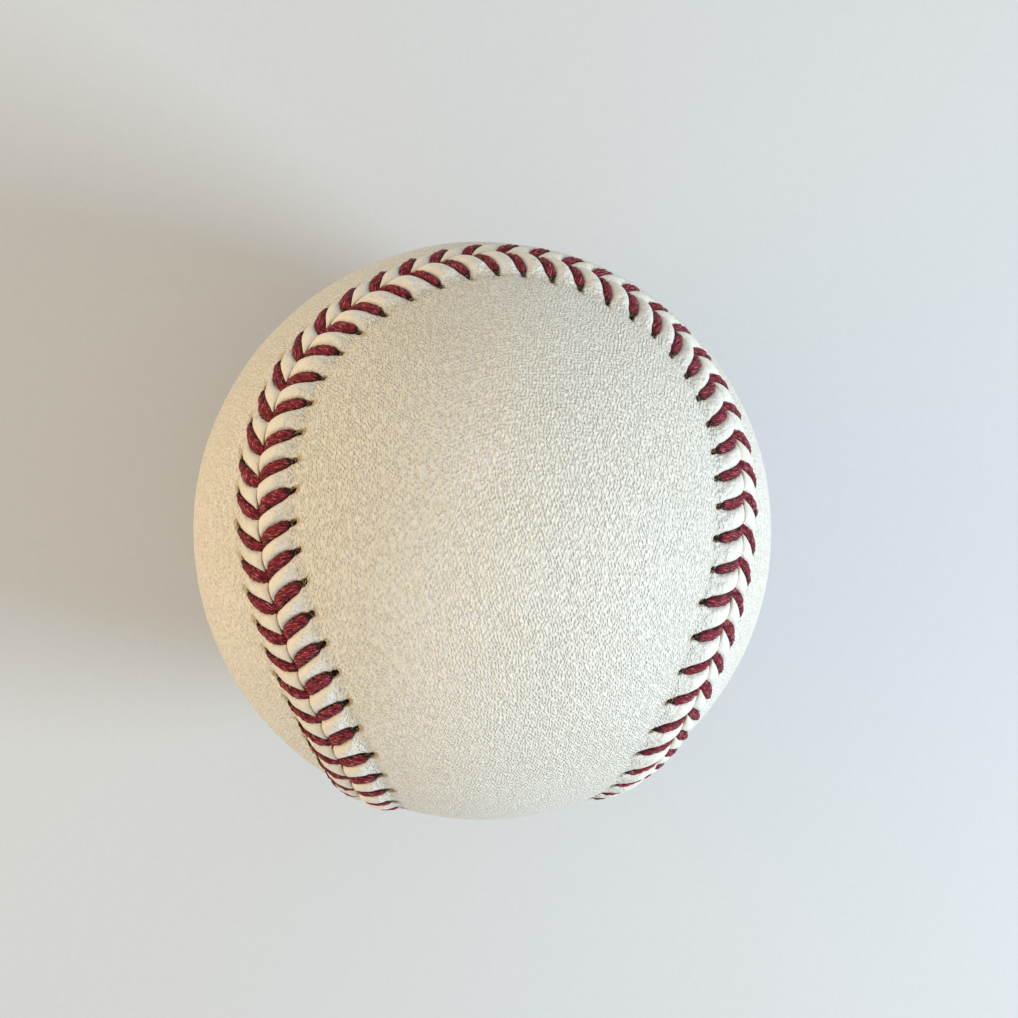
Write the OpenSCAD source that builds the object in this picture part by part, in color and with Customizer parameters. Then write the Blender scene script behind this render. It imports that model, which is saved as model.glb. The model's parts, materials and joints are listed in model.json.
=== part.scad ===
// Hand-sewn ball: a cork and rubber centre, four layers of yarn, and two
// figure-eight leather panels laced together by one waxed thread.
// The origin is the centre of the ball. The +Y panel has its lobes at +X and -X,
// and the -Y panel has its lobes at +Z and -Z. Lengths are in millimetres.

/* [Centre] */
// Diameter of the cork and rubber core
core_d = 20.64; // [16:0.02:24]
// Wall of the two black rubber half shells
black_wall = 3.97; // [2.5:0.01:5.5]
// Thickness of the washer between the half shells
washer_t = 0.8; // [0.4:0.1:1.6]
// Wall of the red rubber layer
red_wall = 3.18; // [2:0.01:4.5]

/* [Windings] */
// Depth of the first winding, four-ply grey wool
first_wool_t = 13.86; // [11:0.01:15]
// Depth of the second winding, three-ply white wool
second_wool_t = 1.77; // [1:0.01:3]
// Depth of the third winding, three-ply grey wool
third_wool_t = 2.27; // [1:0.01:3.5]
// Depth of the finishing winding, white cotton thread
finish_t = 0.51; // [0.3:0.01:1]
// Thickness of the cement coat on the windings
coat_t = 0.1; // [0.06:0.01:0.2]
// Gap left between one layer and the next
layer_clear = 0.02; // [0.01:0.01:0.03]

/* [Cover] */
// Thickness of the leather
leather_t = 1.27; // [1:0.01:1.6]
// Narrowest distance between the seam lines, across a panel's neck
neck_w = 32; // [28:0.5:35]
// Sway of the seam about the Y axis, in degrees: with more of it the lobes end rounder
seam_sway = 22; // [20:0.5:24.5]
// Width of the raised rim, from the seam line to where it meets the ball
rim_w = 6.5; // [5.6:0.1:8]
// Gap between the two edges between stitches
seam_gap = 0.24; // [0.1:0.02:0.4]

/* [Lacing] */
// Number of double stitches round the seam
stitches = 108; // [100:2:112]
// Distance from the seam line to the middle of a stitch hole
hole_off = 4.2; // [3.6:0.05:4.6]
// Distance along the seam from the point of a stitch to its holes
hole_lead = 2.7; // [2.2:0.05:2.8]
// Width of a stitch at its middle
stitch_w = 1.7; // [1.2:0.05:2]
// Thickness of a stitch lying on the leather
stitch_t = 0.42; // [0.3:0.02:0.6]
// Width of the thread where it is drawn through a hole or the seam
drawn_w = 0.84; // [0.6:0.02:0.96]
// Thickness of the thread where it is drawn through
drawn_t = 0.5; // [0.36:0.02:0.6]
// Thickness of the thread where it runs under the leather
under_t = 0.36; // [0.24:0.02:0.5]
// Clearance between the thread and the leather
thread_clear = 0.08; // [0.05:0.01:0.1]

/* [Hidden] */
$fn = 96;

// Outer radius of each layer, from the core outwards
core_r = core_d / 2;
black_r = core_r + black_wall;
red_r = black_r + red_wall;
first_wool_r = red_r + first_wool_t;
second_wool_r = first_wool_r + second_wool_t;
third_wool_r = second_wool_r + third_wool_t;
finish_r = third_wool_r + finish_t;
coat_r = finish_r + coat_t;
ball_r = coat_r + leather_t;

// The seam is one closed curve on the sphere, run through by t from 0 to seam_turn degrees
seam_turn = 720;
seam_step = 2;
neck_a = deg(neck_w / 2 / ball_r);
// A short step either side of a point, to find the seam's direction
seam_nudge = 0.05;
// Distance run along the seam at each step of t
seam_runs = [for (t = 0, run = 0; t <= seam_turn;
    run = run + ball_r * norm(seam_dir(t + seam_step) - seam_dir(t)), t = t + seam_step) [run, t]];
seam_len = seam_runs[len(seam_runs) - 1][0];

// Facets across a panel between its rims
panel_cells = 8;
// Corners that each stitch gives a panel's surface, and which of them is the rim's foot
rim_corner_count = 7;
foot_corner = rim_corner_count - 1;
// Corners of the thread's cross-section
thread_sides = 4;
// Widest panel between its rims, as a share of the ball's radius
lobe_share = 1.34;
// Half the diagonal of the largest facet, as an angle seen from the centre
facet_a = deg(norm([lobe_share * ball_r / panel_cells, seam_len / stitches]) / 2 / ball_r);
// The inner corners of a panel stand off so that its facets clear the coat
panel_in_r = (coat_r + layer_clear) / cos(facet_a);

// The leather rises over the thread that runs under it
under_r = coat_r + thread_clear + under_t / 2;
rim_in_r = under_r + under_t / 2 + thread_clear;
rim_out_r = rim_in_r + leather_t;
rim_mid_r = (rim_in_r + rim_out_r) / 2;
stitch_r = rim_out_r + thread_clear + stitch_t / 2;

// A stitch hole, along and across the seam
hole_l = drawn_w + 2 * thread_clear;
hole_b = drawn_t + 2 * thread_clear;
// The two threads pass the seam side by side, the one off the -Y panel ahead of the other
cross_off = drawn_w / 2 + thread_clear;
// Reach of both threads along the seam, to either side of the stitch's point
cross_reach = cross_off + drawn_w / 2;
// The edges are notched at each stitch so that both threads pass between them
half_pitch = seam_len / stitches / 2;
notch_half = seam_gap / 2
    + (drawn_t / 2 + thread_clear - seam_gap / 2) * half_pitch / (half_pitch - cross_reach);

// Where the first stitch lies past the middle of the +Z side, in pitches
first_stitch_share = 0.91;
// How far the spacing closes up beside the necks and opens round the lobes, in pitches
spacing_ease_share = 0.15;

function deg(radians) = radians * 180 / PI;
function unit(v) = v / norm(v);

// Direction of a seam point from the centre: the polar angle is measured from +Y
function seam_dir(t) =
    let (polar = 90 - (90 - neck_a) * cos(t), turn = t / 2 + seam_sway * sin(2 * t))
    [sin(polar) * sin(turn), cos(polar), sin(polar) * cos(turn)];
function seam_along(t) = unit(seam_dir(t + seam_nudge) - seam_dir(t - seam_nudge));

function seam_t(run) =
    let (laps = floor(run / seam_len))
    lookup(run - laps * seam_len, seam_runs) + laps * seam_turn;

// Radial, along and across directions at a run along the seam and an offset to the +Y side
function seam_frame(run, off) =
    let (t = seam_t(run), out = seam_dir(t), along = seam_along(t),
        side = cross(out, along), a = deg(off / ball_r))
    [out * cos(a) + side * sin(a), along, side * cos(a) - out * sin(a)];
function seam_point(run, off, r) = r * seam_frame(run, off)[0];

// Run of stitch k's point, counted from the middle of the +Z side
function stitch_run(k) =
    let (u = (k + first_stitch_share) / stitches)
    seam_len * (u + spacing_ease_share * sin(2 * seam_turn * u) / stitches);
function hole_run(k) = stitch_run(k) + hole_lead;

// A layer of rubber, yarn or cement between two spheres
module layer(in_r, out_r) {
    difference() {
        sphere(r = out_r);
        sphere(r = in_r + layer_clear);
    }
}

module cork_core() {
    color("#b98a5a") sphere(r = core_r);
}

// One half of the black rubber shell, above the washer
module half_shell() {
    face_z = washer_t / 2 + layer_clear;
    color("#2b2b2b") intersection() {
        layer(core_r, black_r);
        translate([-black_r, -black_r, face_z]) cube([2 * black_r, 2 * black_r, black_r]);
    }
}

module lower_black_shell() {
    mirror([0, 0, 1]) half_shell();
}

module upper_black_shell() {
    half_shell();
}

module shell_washer() {
    color("#a8202c") intersection() {
        layer(core_r, black_r);
        translate([-black_r, -black_r, -washer_t / 2]) cube([2 * black_r, 2 * black_r, washer_t]);
    }
}

module red_rubber_layer() {
    color("#b3272f") layer(black_r, red_r);
}

module first_wool_winding() {
    color("#8d9096") layer(red_r, first_wool_r);
}

module second_wool_winding() {
    color("#e9e4d6") layer(first_wool_r, second_wool_r);
}

module third_wool_winding() {
    color("#84878d") layer(second_wool_r, third_wool_r);
}

module finishing_winding() {
    color("#f1eee2") layer(third_wool_r, finish_r);
}

module cement_coat() {
    color("#d8cfae") layer(finish_r, coat_r);
}

// Corners of a panel at stitch k: two on its edge, four round the hole, one at the rim's foot
function rim_corners(k, side, rim_r, foot_r) =
    let (hole = seam_frame(hole_run(k), side * hole_off),
        ahead = hole[1] * hole_l / 2, away = hole[2] * side * hole_b / 2)
    [seam_point(stitch_run(k), side * notch_half, rim_r),
     seam_point((stitch_run(k) + stitch_run(k + 1)) / 2, side * seam_gap / 2, rim_r),
     for (corner = [-ahead - away, ahead - away, ahead + away, away - ahead])
        rim_r * unit(rim_r * hole[0] + corner),
     seam_point(hole_run(k), side * rim_w, foot_r)];

// Corners between two rim feet, on the great circle through them
function rung_corners(a, b, r) =
    let (ua = unit(a), ub = unit(b), span = acos(ua * ub))
    [for (j = [1 : panel_cells - 1])
        let (f = j / panel_cells)
        r * (ua * sin((1 - f) * span) + ub * sin(f * span)) / sin(span)];

// One surface of a panel: every stitch's corners, then every rung's corners
function panel_surface(side, first, rim_r, foot_r) =
    let (rims = [for (k = [0 : stitches - 1]) rim_corners(k, side, rim_r, foot_r)],
        rungs = [for (i = [1 : stitches / 2 - 2])
            rung_corners(rims[(first + i) % stitches][foot_corner],
                rims[(first - 1 - i + stitches) % stitches][foot_corner], foot_r)])
    [for (c = rims) each c, for (c = rungs) each c];

// Number of a corner in panel_surface
function rim_at(k, corner) = rim_corner_count * ((k + stitches) % stitches) + corner;
function rung_at(first, i, j) =
    j == 0 ? rim_at(first + i, foot_corner)
    : j == panel_cells ? rim_at(first - 1 - i, foot_corner)
    : rim_corner_count * stitches + (i - 1) * (panel_cells - 1) + j - 1;

// Triangles of one surface
function rim_faces(k) =
    let (notch = rim_at(k, 0), edge = rim_at(k, 1), next = rim_at(k + 1, 0),
        near_back = rim_at(k, 2), near_ahead = rim_at(k, 3), far_ahead = rim_at(k, 4),
        far_back = rim_at(k, 5), foot = rim_at(k, foot_corner), last_near = rim_at(k - 1, 3),
        last_far = rim_at(k - 1, 4), last_foot = rim_at(k - 1, foot_corner))
    [[last_near, notch, near_back], [notch, edge, near_back], [edge, next, near_back],
     [next, near_ahead, near_back], [last_near, near_back, far_back],
     [last_near, far_back, last_far], [far_back, far_ahead, foot],
     [last_far, far_back, foot], [last_far, foot, last_foot]];
function tip_faces(first, i, near, far) =
    let (half = floor(panel_cells / 2))
    [for (j = [0 : half - 1]) [near, rung_at(first, i, j), rung_at(first, i, j + 1)],
     [near, rung_at(first, i, half), far],
     for (j = [half : panel_cells - 1]) [far, rung_at(first, i, j), rung_at(first, i, j + 1)]];
function flipped(faces) = [for (f = faces) [f[0], f[2], f[1]]];
function surface_faces(first) =
    let (last = stitches / 2 - 1)
    [for (k = [0 : stitches - 1]) each rim_faces(k),
     each tip_faces(first, 1, rim_at(first, foot_corner), rim_at(first - 1, foot_corner)),
     for (i = [1 : last - 2], j = [0 : panel_cells - 1]) each
        [[rung_at(first, i, j), rung_at(first, i + 1, j), rung_at(first, i, j + 1)],
         [rung_at(first, i, j + 1), rung_at(first, i + 1, j), rung_at(first, i + 1, j + 1)]],
     each flipped(tip_faces(first, last - 1, rim_at(first + last, foot_corner),
        rim_at(first - 1 - last, foot_corner)))];

// Triangles that join the outer surface to the inner one, at the edge and in each hole
function wall(a, b, shift) = [[a, b, b + shift], [a, b + shift, a + shift]];
function wall_faces(shift) =
    [for (k = [0 : stitches - 1]) each
        [each wall(rim_at(k, 1), rim_at(k, 0), shift),
         each wall(rim_at(k + 1, 0), rim_at(k, 1), shift),
         for (c = [2 : 5]) each wall(rim_at(k, c == 2 ? 5 : c - 1), rim_at(k, c), shift)]];

// A figure-eight panel of leather with a punched, raised rim
module panel(side) {
    // The first stitch past the middle of one lobe's tip
    tip_run = side > 0 ? seam_len / 4 : 0;
    first = ceil((tip_run - hole_run(0)) / seam_len * stitches);
    outer = panel_surface(side, first, rim_out_r, ball_r);
    inner = panel_surface(side, first, rim_in_r, panel_in_r);
    shift = len(outer);
    top = surface_faces(first);
    below = [for (f = top) [f[0] + shift, f[2] + shift, f[1] + shift]];
    faces = concat(top, below, wall_faces(shift));
    polyhedron(concat(outer, inner), side > 0 ? flipped(faces) : faces);
}

module cover_panel_a() {
    color("#efece2") panel(-1);
}

module cover_panel_b() {
    color("#e9e6dc") panel(1);
}

// One four-cornered ring of the thread, square to the way it runs.
// way gives its course along the seam, across it and outwards.
function thread_ring(run, off, r, way, w, t) =
    let (f = seam_frame(run, off), centre = r * f[0],
        course = unit(way[0] * f[1] + way[1] * f[2] + way[2] * f[0]),
        wide = unit(f[1] - (f[1] * course) * course), thick = cross(course, wide))
    [centre + wide * w / 2, centre + thick * t / 2, centre - wide * w / 2, centre - thick * t / 2];

// The thread comes up through stitch k's hole on one side, crosses to the stitch's
// point, goes down the seam and runs under the other side to the next hole.
function stitch_rings(k, side, is_last) =
    let (point = stitch_run(k) - side * cross_off, hole = hole_run(k), next = hole_run(k - 1),
        over = unit([point - hole, -side * hole_off]),
        under = unit([next - point, -side * hole_off]))
    [thread_ring(hole, side * hole_off, rim_mid_r, [0, 0, 1], drawn_w, drawn_t),
     thread_ring(hole, side * hole_off, stitch_r, [over[0], over[1], 1], drawn_w, stitch_t),
     thread_ring((hole + point) / 2, side * hole_off / 2, stitch_r, [over[0], over[1], 0],
        stitch_w, stitch_t),
     thread_ring(point, 0, stitch_r, [over[0], over[1], -1], drawn_w, stitch_t),
     thread_ring(point, 0, rim_mid_r, [0, 0, -1], drawn_w, drawn_t),
     if (is_last) thread_ring(point, 0, under_r, [0, 0, -1], drawn_w, under_t),
     if (!is_last) each
        [thread_ring(point, 0, under_r, [under[0], under[1], -1], drawn_w, under_t),
         thread_ring(next, -side * hole_off, under_r, [under[0], under[1], 1],
            drawn_w, under_t)]];

// Half of the thread, from its middle under the first stitch to its tucked-in end
module thread_half(first_side) {
    last = stitches - 1;
    start = hole_run(last) - drawn_w;
    lead = unit([drawn_w, first_side * hole_off]);
    rings = [thread_ring(start, first_side * thread_clear / 2, under_r, [0, first_side, 0],
            drawn_w, under_t),
        thread_ring(hole_run(last), first_side * hole_off, under_r, [lead[0], lead[1], 1],
            drawn_w, under_t),
        for (k = [last : -1 : 0]) each
            stitch_rings(k, first_side * ((last - k) % 2 == 0 ? 1 : -1), k == 0)];
    count = len(rings);
    sides = [for (i = [0 : count - 2], j = [0 : thread_sides - 1]) each
        let (a = thread_sides * i + j, b = thread_sides * i + (j + 1) % thread_sides)
        [[a, b + thread_sides, b], [a, a + thread_sides, b + thread_sides]]];
    end = thread_sides * (count - 1);
    polyhedron([for (r = rings) each r],
        concat([[0, 1, 2, 3]], sides, [[end + 3, end + 2, end + 1, end]]));
}

module thread_first_half() {
    color("#8c1f33") thread_half(1);
}

module thread_second_half() {
    color("#9a2438") thread_half(-1);
}

cork_core();
lower_black_shell();
upper_black_shell();
shell_washer();
red_rubber_layer();
first_wool_winding();
second_wool_winding();
third_wool_winding();
finishing_winding();
cement_coat();
cover_panel_a();
cover_panel_b();
thread_first_half();
thread_second_half();
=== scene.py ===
"""A hand-sewn leather ball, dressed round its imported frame.

Lengths are in millimetres until a mesh is made, and the ball's centre is the origin. Each
surface is a function of two parameters, worked out as whole arrays: a run along the seam
and an offset across it for the leather, and a run along the thread and a turn round it for
the stitches. SIDES gives the offset's sign: -1 for the panel in view, 1 for the other.
"""
import json

import bpy
import numpy as np
from mathutils import Euler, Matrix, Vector


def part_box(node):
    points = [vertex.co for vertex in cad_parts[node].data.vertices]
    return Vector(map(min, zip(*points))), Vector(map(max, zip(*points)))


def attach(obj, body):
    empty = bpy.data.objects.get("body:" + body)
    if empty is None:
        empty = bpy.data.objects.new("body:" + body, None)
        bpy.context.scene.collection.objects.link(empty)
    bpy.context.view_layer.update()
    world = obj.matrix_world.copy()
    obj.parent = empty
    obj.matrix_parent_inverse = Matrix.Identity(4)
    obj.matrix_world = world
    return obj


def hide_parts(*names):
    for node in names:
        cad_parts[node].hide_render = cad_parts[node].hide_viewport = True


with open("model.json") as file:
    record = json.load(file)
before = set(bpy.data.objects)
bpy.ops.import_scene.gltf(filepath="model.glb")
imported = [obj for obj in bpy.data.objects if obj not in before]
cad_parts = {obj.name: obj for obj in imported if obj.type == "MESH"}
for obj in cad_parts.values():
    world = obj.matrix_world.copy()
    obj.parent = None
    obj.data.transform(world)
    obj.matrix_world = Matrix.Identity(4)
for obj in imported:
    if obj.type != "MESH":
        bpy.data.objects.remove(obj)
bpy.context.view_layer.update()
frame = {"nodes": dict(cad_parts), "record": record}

MM = 0.001
TURN = 2 * np.pi


def outer_radius(node):
    """Largest reach of a node from the ball's centre along X."""
    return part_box(node)[1].x / MM


# The seam and its stitches, as in the frame
SEAT = next(m for m in frame["record"]["mounts"] if m["name"] == "seat")
BALL_R = -SEAT["pos_m"][2] / MM
COAT_R = outer_radius("cement_coat")
STITCHES = 108
NECK_W = 32.0
NECK_A = NECK_W / 2 / BALL_R
SEAM_SWAY = np.radians(22)
HOLE_LEAD = 2.7
FIRST_STITCH_SHARE = 0.91
SPACING_EASE_SHARE = 0.15
SIDES = {"cover_panel_a": -1, "cover_panel_b": 1}

# Pairs of values are for the two sides: the panel in view, then the other. The holes lie a
# little off the frame's, as in the photograph
HOLE_OFF = (4.6, 4.15)

# Where a stitch's two arms dip into the seam: how far apart from its middle, and how far ahead
CROSS_OFF = 0.14
POINT_LEAD = 0.28

# Slow drifts round the seam, fitted to the stitches in view, which bring them to their places
# in the photograph. Each is a cosine wave: how many go round the seam, how far they swing and
# the stitch where they swing furthest
SEAM_DRIFTS = ((4, 0.45, 10.7), (6, 0.42, 3.4))
POINT_DRIFT = (5, 0.56, -0.3)
LEAD_DRIFTS = ((4, 0.52, 1.2), (4, 0.91, -8.1))
WIDTH_DRIFT = (2, 0.08, -16)
SCOOP_DRIFT = (2, 0.35, -22)

# The rim of the leather: heights are above the ball's own radius. A name that ends in AHEAD
# says how far before the hole something starts, and one that ends in PAST, how far beyond it
RIM_FOOT = 8.0
RIM_RISE = 0.54
RIM_EDGE_SHARE = 0.72
RIM_FALL_W = 3.3
CREST_OFF = 1.6
CROWN = (0.60, 0.42)
CROWN_POWERS = (2.3, 0.62)
CROWN_EDGE_SHARE = 0.45
CROWN_EDGE_W = 0.7
CROWN_AHEAD = 1.7
CROWN_FALL_W = 2.0
GROOVE = 0.38
GROOVE_EDGE_W = 0.4
GROOVE_AHEAD = 0.5
GROOVE_FALL_W = 0.6
WIDEST_GROOVE_SHARE = 0.44
CURL = 0.58
CURL_W = 0.30
EDGE_GAP = 0.09
EDGE_GAP_SWING = 0.6
EDGE_GAP_REACH = 0.5
WIDEST_GAP_STITCH = 13
NOTCH_GAP = 0.25
NOTCH_HALF = 0.7
HOLE_SHIFT_REACH = 1.6
PIT_DEPTH = (0.85, 0.35)
PIT_LENGTH = 0.58
PIT_HALF_W = 0.34
PIT_PAST = -0.02
PIT_POWER = 0.45
LIP_RISE = 0.10
LIP_SHARE = 1.25
LIP_HALF_SHARE = 0.3
LIP_FAR_W = 0.4
TROUGH_DEPTH = 0.11
TROUGH_PAST = 0.2
TROUGH_HALF_W = 0.6
PUCKER_DEPTH = 0.05
PUCKER_PAST = 0.5
PUCKER_HALF_W = 1.1
PUCKER_FOOT_OFF = 3.0
PUCKER_EASE_W = 1.5
SCOOP_DEPTH = 0.20
SCOOP_HALF_W = 0.55
SCOOP_PAST = 0.62
SCOOP_RIDGE = 0.05
SCOOP_RIDGE_SHARE = 1.2
SCOOP_RIDGE_HALF_SHARE = 0.25
TIGHT_AHEAD = 1.3
TIGHT_FALL_W = 1.5

# How raw or shaded the leather is, from 0 to 1: tan where it is cut, worn or torn, lightly tinted tan
# towards the seam's edge, and painted near-black as shade in the seam's crease and the pits
CUT_AND_CREASE_SHADE = 0.9
CUT_EDGE_W = 0.17
CUT_EASE_W = 0.14
SEAM_TAN = 0.07
SEAM_TAN_W = 0.9
WORN_BARE = 0.5
WORN_SHARE = 1.15
WORN_EASE_SHARE = 0.5
TORN_AND_SHADE_SHARE = 1.2
TORN_AND_SHADE_EASE_SHARE = 0.28

# The leather's inside
RIM_IN_R = COAT_R + 0.52
PANEL_IN_R = COAT_R + 0.07
PANEL_IN_EASE = 0.2

# The thread
STITCH_W = 1.36
STITCH_T = 0.86
DRAWN_W = 0.46
DRAWN_T = 0.40
HOLE_END_W = (0.86, 0.38)
SEAM_END_W = (0.62, 0.90)
SWELL_LEAN = (1.10, 0.62)
SWELL_ROUND = (0.50, 1.00)
HOLE_TAPER = (0.52, 0.0)
TAPER_SHARE = 0.16
HOLE_DIVE = (0.45, 0.0)
END_LIFT = (0.0, 0.28)
UNDER_R = COAT_R + 0.27
LAY = 0.78

# A stitch arm's course, as shares of its lead and reach: a quadratic curve from the seam
# to the hole, with this corner between its ends
BEND_LEAD_SHARES = (0.62, 0.36)
BEND_REACH_SHARES = (0.34, 0.52)

# How unevenly the holes are punched and the thread is drawn: a row for each side
rng = np.random.default_rng(1908)


def uneven(spread, limit):
    """Random numbers for every stitch of both sides, none past the limit."""
    return np.clip(spread * rng.standard_normal((2, STITCHES)), -limit, limit)


def slow_wave(k, waves, swing, furthest):
    """A cosine wave round the seam at stitch k, with its swing at the furthest stitch."""
    return swing * np.cos(TURN * waves * (k - furthest) / STITCHES)


EVERY = np.arange(STITCHES)
reach = np.array(HOLE_OFF)[:, None] + uneven(0.14, 0.32)
lead_drift = np.array([slow_wave(EVERY, *drift) for drift in LEAD_DRIFTS])
hole_lead = HOLE_LEAD + lead_drift + uneven(0.13, 0.30)
point_shift = uneven(0.07, 0.16)
arm_width = STITCH_W * (1 + slow_wave(EVERY, *WIDTH_DRIFT) + uneven(0.08, 0.16))
pit_length = PIT_LENGTH * (1 + uneven(0.15, 0.3))
crown_share = 1 + uneven(0.11, 0.25)
scoop_share = np.clip(0.45 + slow_wave(EVERY, *SCOOP_DRIFT) + uneven(0.25, 0.4), 0, 1)


def row_of(side):
    """Row of the uneven values that belongs to a side."""
    return 0 if side < 0 else 1


def smooth(x):
    """Eases from 0 to 1 as x goes from 0 to 1: 3xx - 2xxx."""
    x = np.clip(x, 0, 1)
    return x * x * (3 - 2 * x)


def fall(x, start, width):
    """Eases from 1 at a start to 0 that width past it."""
    return 1 - smooth((x - start) / width)


def hump(x, middle, half):
    """A bell, 1 at its middle: e to the minus square of the distance from it in half widths."""
    return np.exp(-((x - middle) / half) ** 2)


def unit(v):
    """Vectors of length one."""
    return v / np.linalg.norm(v, axis=-1, keepdims=True)


# The seam
def seam_dir(t):
    """Direction of a seam point. The polar angle from +Y swings between the two necks as
    cos t, while the turn about Y advances by t/2 with a sway of sin 2t."""
    polar = np.pi / 2 - (np.pi / 2 - NECK_A) * np.cos(t)
    turn = t / 2 + SEAM_SWAY * np.sin(2 * t)
    return np.stack([np.sin(polar) * np.sin(turn), np.cos(polar), np.sin(polar) * np.cos(turn)], -1)


SEAM_T = np.linspace(0, 2 * TURN, 7201)
SEAM_STEPS = np.linalg.norm(np.diff(seam_dir(SEAM_T), axis=0), axis=1) * BALL_R
SEAM_RUN = np.concatenate([[0], np.cumsum(SEAM_STEPS)])
SEAM_LEN = SEAM_RUN[-1]
PITCH = SEAM_LEN / STITCHES
SEAM_NUDGE = 1e-3


def seam_frame(run, off):
    """Outward, along and across directions at a run along the seam and an offset to the +Y
    side: the offset turns the outward direction about the along one. The seam's own drift
    is added to the offset."""
    run, off = np.broadcast_arrays(run, off)
    off = off + sum(slow_wave(run / PITCH - FIRST_STITCH_SHARE, *drift) for drift in SEAM_DRIFTS)
    t = np.interp(np.mod(run, SEAM_LEN), SEAM_RUN, SEAM_T)
    out = seam_dir(t)
    along = unit(seam_dir(t + SEAM_NUDGE) - seam_dir(t - SEAM_NUDGE))
    across = np.cross(out, along)
    angle = (off / BALL_R)[..., None]
    return (out * np.cos(angle) + across * np.sin(angle), along,
            across * np.cos(angle) - out * np.sin(angle))


def stitch_run(k):
    """Run of stitch k's place: even steps, eased four times round the seam, with a drift."""
    u = (k + FIRST_STITCH_SHARE) / STITCHES
    return (SEAM_LEN * (u + SPACING_EASE_SHARE * np.sin(4 * TURN * u) / STITCHES)
            + slow_wave(k, *POINT_DRIFT))


def point_run(k, row):
    """Run where stitch k's arm on a side dips into the seam, a little ahead of its place."""
    return stitch_run(k) + POINT_LEAD - (2 * row - 1) * CROSS_OFF + point_shift[row, k % STITCHES]


def hole_run(k, row):
    """Run of stitch k's hole on a side."""
    return stitch_run(k) + hole_lead[row, k % STITCHES]


def bend(v, corner_shares, row):
    """Share of the lead or reach at v along an arm: a quadratic curve with that corner."""
    return 2 * v * (1 - v) * np.take(corner_shares, row) + v ** 2


COURSE_V = np.linspace(0, 1, 401)
COURSE_LEAD = [bend(COURSE_V, BEND_LEAD_SHARES, row) for row in (0, 1)]
COURSE_REACH = [bend(COURSE_V, BEND_REACH_SHARES, row) for row in (0, 1)]


def lead_at(share, row):
    """Lead share of an arm at a share of its reach. Past the hole the course runs on at its
    last slope, for a third of the reach, and then straight across."""
    last_slope = (1 - BEND_LEAD_SHARES[row]) / (1 - BEND_REACH_SHARES[row])
    return (np.interp(share, COURSE_REACH[row], COURSE_LEAD[row])
            + np.clip(share - 1, 0, 1 / 3) * last_slope)


def arm_half_width(v, width, row):
    """Half the width of a stitch. It runs evenly from the width at the seam to the width at
    the hole, and swells between them as a power of the sine of half a turn, which leans
    towards the hole on one side and towards the seam on the other. On the side in view it
    then tapers where it is drawn into the hole."""
    v = np.clip(v, 0, 1)
    ends = np.take(SEAM_END_W, row) * (1 - v) + np.take(HOLE_END_W, row) * v
    swell = np.sin(np.pi * v ** np.take(SWELL_LEAN, row)) ** np.take(SWELL_ROUND, row)
    taper = 1 - np.take(HOLE_TAPER, row) * smooth((v - 1) / TAPER_SHARE + 1)
    return (ends + (width - ends) * swell) * taper / 2


def rim_rise(w):
    """Height of the rim's ridge at an offset from the seam: full at the crest, a little lower
    at the edge, and eased down to the ball just past the holes."""
    edge_share = RIM_EDGE_SHARE + (1 - RIM_EDGE_SHARE) * smooth(w / CREST_OFF)
    return RIM_RISE * edge_share * fall(w, CREST_OFF, RIM_FALL_W)


def random_waves(count, shortest, longest):
    """Plane waves in random directions: their directions, lengths and phases."""
    directions = unit(rng.standard_normal((count, 3)))
    lengths = rng.uniform(shortest, longest, count)
    return directions, lengths, rng.uniform(0, TURN, count)


def ripple(direction, waves):
    """Sum of the waves' sines at a direction from the ball's centre, over its usual size."""
    directions, lengths, phases = waves
    phase = direction @ directions.T * BALL_R * TURN / lengths + phases
    return np.sin(phase).sum(-1) / np.sqrt(len(lengths) / 2)


# Slow unevenness of the whole ball, and the wrinkles where the leather is drawn to a hole
SLOW_WAVES = random_waves(14, 6, 26)
WRINKLE_WAVES = random_waves(12, 0.9, 2.4)
UNEVEN = 0.03
WRINKLE = 0.12
WRINKLE_AHEAD = 2.9
WRINKLE_EASE_W = 1.4
WRINKLE_PAST = 0.2
WRINKLE_FALL_W = 0.9
FOLD_CAP = 1.4
FOLD_POWER = 0.7
FOLD_MIDDLE = 0.7


def unevenness(direction):
    """Height of the slow waves at a direction from the ball's centre."""
    return UNEVEN * ripple(direction, SLOW_WAVES)


# Meshes
def grid(numbers, closed=True):
    """Triangles of a whole grid of point numbers, with those that have lost a corner left out.
    Rows are strips along the first axis, and closed joins the last row to the first."""
    a = numbers if closed else numbers[:-1]
    b = np.roll(numbers, -1, axis=0) if closed else numbers[1:]
    corners = [a[:, :-1], b[:, :-1], b[:, 1:], a[:, 1:]]
    faces = np.concatenate([np.stack([corners[0], corners[1], corners[2]], -1).reshape(-1, 3),
                            np.stack([corners[0], corners[2], corners[3]], -1).reshape(-1, 3)])
    whole = (faces != np.roll(faces, 1, axis=1)).all(1)
    return faces[whole]


def length_along(centre):
    """Length run along a line of points, from 0 at the first."""
    return np.concatenate([[0], np.cumsum(np.linalg.norm(np.diff(centre, axis=0), axis=1))])


def tube_corners(faces, rings, sides):
    """Ring and side of each face's corners on a tube. The faces that close the turn get the
    number of sides in place of the first side's 0."""
    side = faces // rings
    wraps = (side.max(1) - side.min(1) > 1)[:, None] & (side == 0)
    return faces % rings, np.where(wraps, sides, side)


def add_uv(mesh, name, uv):
    """Stores a place on the surface at each face's corners, for a material to read."""
    mesh.uv_layers.new(name=name).uv.foreach_set("vector", uv.astype(np.float32).ravel())


def add_object(name, data):
    """Puts a mesh, a lamp or a camera in the scene."""
    thing = bpy.data.objects.new(name, data)
    bpy.context.scene.collection.objects.link(thing)
    return thing


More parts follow.
